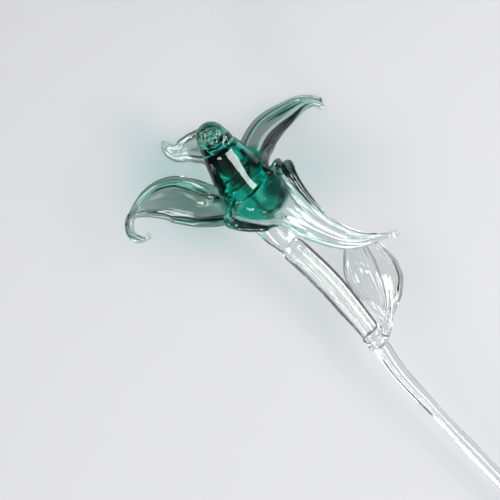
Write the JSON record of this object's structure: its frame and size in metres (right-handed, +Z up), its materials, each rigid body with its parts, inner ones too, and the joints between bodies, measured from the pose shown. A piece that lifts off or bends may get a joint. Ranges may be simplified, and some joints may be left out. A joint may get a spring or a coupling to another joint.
{
  "type": "glass flower",
  "caption": "Flame-worked glass flower lying down: teal bud around a deeper core, pulled petals with beaded rims and hooked tips, clear stem with a pressed leaf at its joint.",
  "frame": {"origin": "centre of the box's underside, on the surface that the flower lies on", "axes": "+X along the stem from its rounded end to the bloom, +Z up, +Y to the left when looking along +X"},
  "size_m": [0.3248, 0.099, 0.0576],
  "materials": {
    "teal_glass": "fire_polished",
    "deep_teal_glass": "fire_polished",
    "pale_teal_glass": "fire_polished",
    "clear_glass": "fire_polished"
  },
  "bodies": {
    "root": {"bud": "teal_glass", "bud_core": "deep_teal_glass", "petal_front": "pale_teal_glass", "petal_left": "pale_teal_glass", "petal_upper": "pale_teal_glass", "petal_back": "clear_glass", "collar": "clear_glass", "stem_upper": "clear_glass", "joint": "clear_glass", "leaf": "clear_glass", "stem_lower": "clear_glass"}
  },
  "joints": []
}
